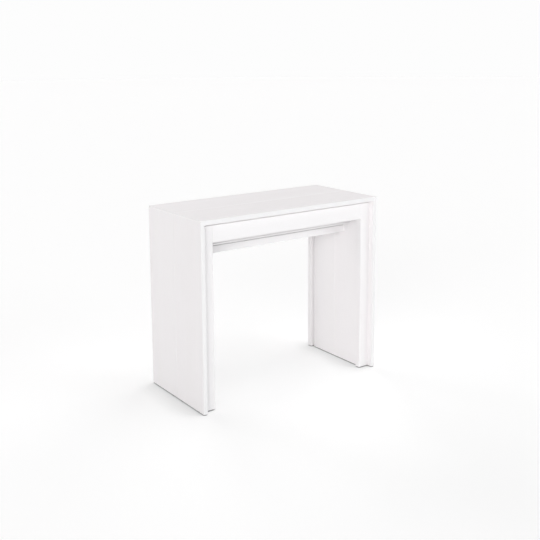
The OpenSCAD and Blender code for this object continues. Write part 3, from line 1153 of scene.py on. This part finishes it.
@dataclass(frozen=True)
class Lamp:
    """Soft light from one direction, with the angle that its disc spans as its softness."""

    name: str
    azimuth: float
    elevation: float
    level: float
    softness: float
    colour: Colour = (1.0, 1.0, 1.0)
    slices: ClassVar[int] = 20

    def build(self) -> None:
        """Makes a sun that lights a face square to it at the level of its written colour."""
        light = bpy.data.lights.new(self.name, "SUN")
        light.energy = self.level * math.pi
        light.angle = math.radians(self.softness)
        light.color = self.colour
        lamp = bpy.data.objects.new(self.name, light)
        turn, lift = math.radians(self.azimuth), math.radians(self.elevation)
        towards = Vector((math.sin(turn) * math.cos(lift), -math.cos(turn) * math.cos(lift), math.sin(lift)))
        lamp.rotation_mode = "QUATERNION"
        lamp.rotation_quaternion = towards.to_track_quat("Z", "Y")
        bpy.context.scene.collection.objects.link(lamp)
        LOG.info("lamp %s from azimuth %.0f and elevation %.0f", self.name, self.azimuth, self.elevation)

    def on_floor(self) -> float:
        """Works out the lamp's light on the open floor.

        Returns:
            The level, without the part of the lamp's disc that lies below the horizon.
        """
        middles = [(step + 0.5) / (self.slices // 2) - 1 for step in range(self.slices)]
        chords = [math.sqrt(1 - at * at) for at in middles]
        heights = [math.radians(self.elevation + self.softness / 2 * at) for at in middles]
        seen = sum(chord * max(0.0, math.sin(height)) for chord, height in zip(chords, heights))
        return self.level * seen / sum(chords)


@dataclass(frozen=True)
class Studio:
    """Pale floor without end, soft light from all round and a few soft lamps.

    The floor carries painted shade close under the table, and more widely where the table
    stands between it and the direction of shade_towards; near the table it is painted brighter.
    """

    white: float = 0.982
    ambient: float = 0.22
    ambient_colour: Colour = (1.0, 0.98, 0.985)
    floor_albedo: float = 0.92
    floor_radius: float = 40.0
    floor_segments: int = 96
    # Painted contact shadow: the floor is darkened towards contact_tone where the table stands within
    # contact_reach above it.
    contact_reach: float = 14 * MM
    contact_span: Span = (0.0, 0.9)
    contact_tone: float = 0.25
    # Painted shadow: a wide, weak darkening of the floor on the side of the legs that looks away from
    # shade_towards.
    shade_reach: float = 120 * MM
    shade_span: Span = (0.15, 0.95)
    shade_tone: float = 0.77
    shade_towards: Triple = (0.7, -0.35, 0.6)
    # Painted glow: the floor is near_white within the first distance of near_reach, fading to white beyond
    # the second.
    near_white: float = 1.0
    near_reach: Span = (0.6, 1.6)
    shadow_share: float = 0.5
    lamps: tuple[Lamp, ...] = (
        Lamp("front_left", -35.0, 8.0, 0.24, 40.0, (0.965, 1.0, 1.0)),
        Lamp("low_left", -55.0, 3.0, 0.585, 40.0, (0.99, 0.995, 0.99)),
        Lamp("front_right", 35.0, 8.0, 0.34, 40.0, (0.93, 1.0, 1.0)),
        Lamp("overhead_right", 75.0, 66.0, 0.25, 40.0, (1.0, 0.985, 0.985)),
        Lamp("rear_right", 110.0, 30.0, 0.15, 40.0),
        Lamp("rear", 180.0, 20.0, 0.44, 40.0, (1.0, 0.99, 0.99)),
        Lamp("rear_left", -150.0, 30.0, 0.09, 40.0, (1.0, 0.98, 0.98)),
    )

    def build(self) -> None:
        """Makes the world, the lamps and the floor."""
        scene = bpy.context.scene
        scene.view_settings.view_transform = "Standard"
        scene.world = self._world()
        for lamp in self.lamps:
            lamp.build()
        self._floor()

    @staticmethod
    def _seen(graph: NodeGraph) -> Socket:
        """Marks the rays that show the background: from the camera, a gloss or a glass.

        Args:
            graph: the graph that the nodes go into.

        Returns:
            1 for such a ray and 0 for others.
        """
        path = graph.add("ShaderNodeLightPath").outputs
        mirrored = graph.math("MAXIMUM", path["Is Glossy Ray"], path["Is Transmission Ray"])
        return graph.math("MAXIMUM", path["Is Camera Ray"], mirrored)

    def _world(self) -> bpy.types.World:
        """Makes the world.

        Returns:
            A world that is white where it is seen, and a soft light from all round.
        """
        world = bpy.data.worlds.new("studio")
        world.use_nodes = True
        world.node_tree.nodes.clear()
        graph = NodeGraph(world.node_tree)
        seen = self._seen(graph)
        light = tuple(self.ambient * part for part in self.ambient_colour)
        background = graph.add("ShaderNodeBackground", {"Color": graph.mix(seen, light, (self.white,) * 3)})
        graph.add("ShaderNodeOutputWorld", {"Surface": background.outputs[0]})
        return world

    def _floor_light(self) -> float:
        """Level of light on the open floor."""
        return self.ambient + sum(lamp.on_floor() for lamp in self.lamps)

    def _floor_material(self) -> Material:
        """Makes the floor's finish.

        Returns:
            A material that is white where it is seen and unshaded, and matt for other rays.
        """
        material, graph = new_material("studio_floor")
        # Painted shade: ambient occlusion darkens the floor's colour close under the table, and widely where
        # a leg stands towards shade_towards.
        open_share = graph.add("ShaderNodeAmbientOcclusion", {"Distance": self.contact_reach}).outputs["AO"]
        contact_shade = graph.ramp(open_share, self.contact_span, (self.contact_tone, 1.0))
        towards = graph.add("ShaderNodeCombineXYZ", dict(enumerate(self.shade_towards))).outputs[0]
        inputs = {"Distance": self.shade_reach, "Normal": towards}
        lit_share = graph.add("ShaderNodeAmbientOcclusion", inputs).outputs["AO"]
        shade = graph.ramp(lit_share, self.shade_span, (self.shade_tone, 1.0))
        # Painted glow: the floor is brighter near the table, fading out over near_reach.
        distance = graph.add("ShaderNodeVectorMath", {0: graph.place()}, operation="LENGTH").outputs["Value"]
        tone = graph.ramp(distance, self.near_reach, (self.near_white, self.white))
        strength = graph.math("MULTIPLY", graph.math("MULTIPLY", contact_shade, shade), tone)
        matt = graph.add("ShaderNodeBsdfDiffuse", {"Color": (self.floor_albedo,) * 3 + (1.0,)})
        share = graph.math("DIVIDE", strength, self._floor_light())
        lit = graph.add("ShaderNodeBsdfDiffuse", {"Color": share})
        plain = graph.add("ShaderNodeEmission", {"Strength": strength})
        surface = graph.blend(self._seen(graph), matt, graph.blend(self.shadow_share, plain, lit))
        graph.add("ShaderNodeOutputMaterial", {"Surface": surface.outputs[0]})
        return material

    def _floor(self) -> bpy.types.Object:
        """Makes the floor.

        Returns:
            A wide round floor.
        """
        shape = bmesh.new()
        bmesh.ops.create_circle(shape, cap_ends=True, segments=self.floor_segments, radius=self.floor_radius)
        mesh = bpy.data.meshes.new("studio_floor")
        shape.to_mesh(mesh)
        shape.free()
        mesh.materials.append(self._floor_material())
        floor = bpy.data.objects.new("studio_floor", mesh)
        bpy.context.scene.collection.objects.link(floor)
        return floor


@dataclass(frozen=True)
class PhotoCamera:
    """Camera at the photo's place: left of the front, a little above the top and hardly rolled."""

    place: Triple = (-2.077, -2.915, 1.425)
    azimuth: float = 34.8
    down: float = 8.95
    roll: float = -0.46
    sensor_mm: float = 36.0
    image_px: float = 540.0
    focal_px: float = 848.5
    middle_px: Span = (255.1, 182.2)

    def build(self) -> None:
        """Makes the camera and sets it as the scene's."""
        data = bpy.data.cameras.new("photo_camera")
        data.sensor_width = self.sensor_mm
        data.lens = self.sensor_mm * self.focal_px / self.image_px
        data.shift_x = 0.5 - self.middle_px[0] / self.image_px
        data.shift_y = self.middle_px[1] / self.image_px - 0.5
        camera = bpy.data.objects.new("photo_camera", data)
        camera.matrix_world = Matrix.Translation(self.place) @ self._turn().to_4x4()
        bpy.context.scene.collection.objects.link(camera)
        bpy.context.scene.camera = camera
        LOG.info("camera at %s with a %.1f mm lens", self.place, data.lens)

    def _turn(self) -> Matrix:
        """Works out how the camera is turned.

        Returns:
            A matrix with the camera's own right, up and back as columns.
        """
        turn, dip, roll = (math.radians(angle) for angle in (self.azimuth, self.down, self.roll))
        ahead = Vector((math.sin(turn) * math.cos(dip), math.cos(turn) * math.cos(dip), -math.sin(dip)))
        right = ahead.cross(Vector((0, 0, 1))).normalized()
        up = right.cross(ahead)
        rolled_right = right * math.cos(roll) + up * math.sin(roll)
        rolled_up = up * math.cos(roll) - right * math.sin(roll)
        return Matrix((rolled_right, rolled_up, -ahead)).transposed()


def main() -> None:
    """Builds the camera, the studio and every sub-assembly in order."""
    logging.basicConfig(level=logging.INFO, format="%(name)s: %(message)s")
    PhotoCamera().build()
    Studio().build()
    plastic = MouldedFinish()
    for half in Half:
        TableHalf(half, BoardFinish()).build()
        Glides(half, plastic, ZINC).build()
        RunnerScrews(half, ZINC).build()
    RunnerGroup(ALUMINIUM, ZINC, plastic).build()
    Latches(ZINC).build()
    Dowels(BeechFinish()).build()


if __name__ == "__main__":
    main()
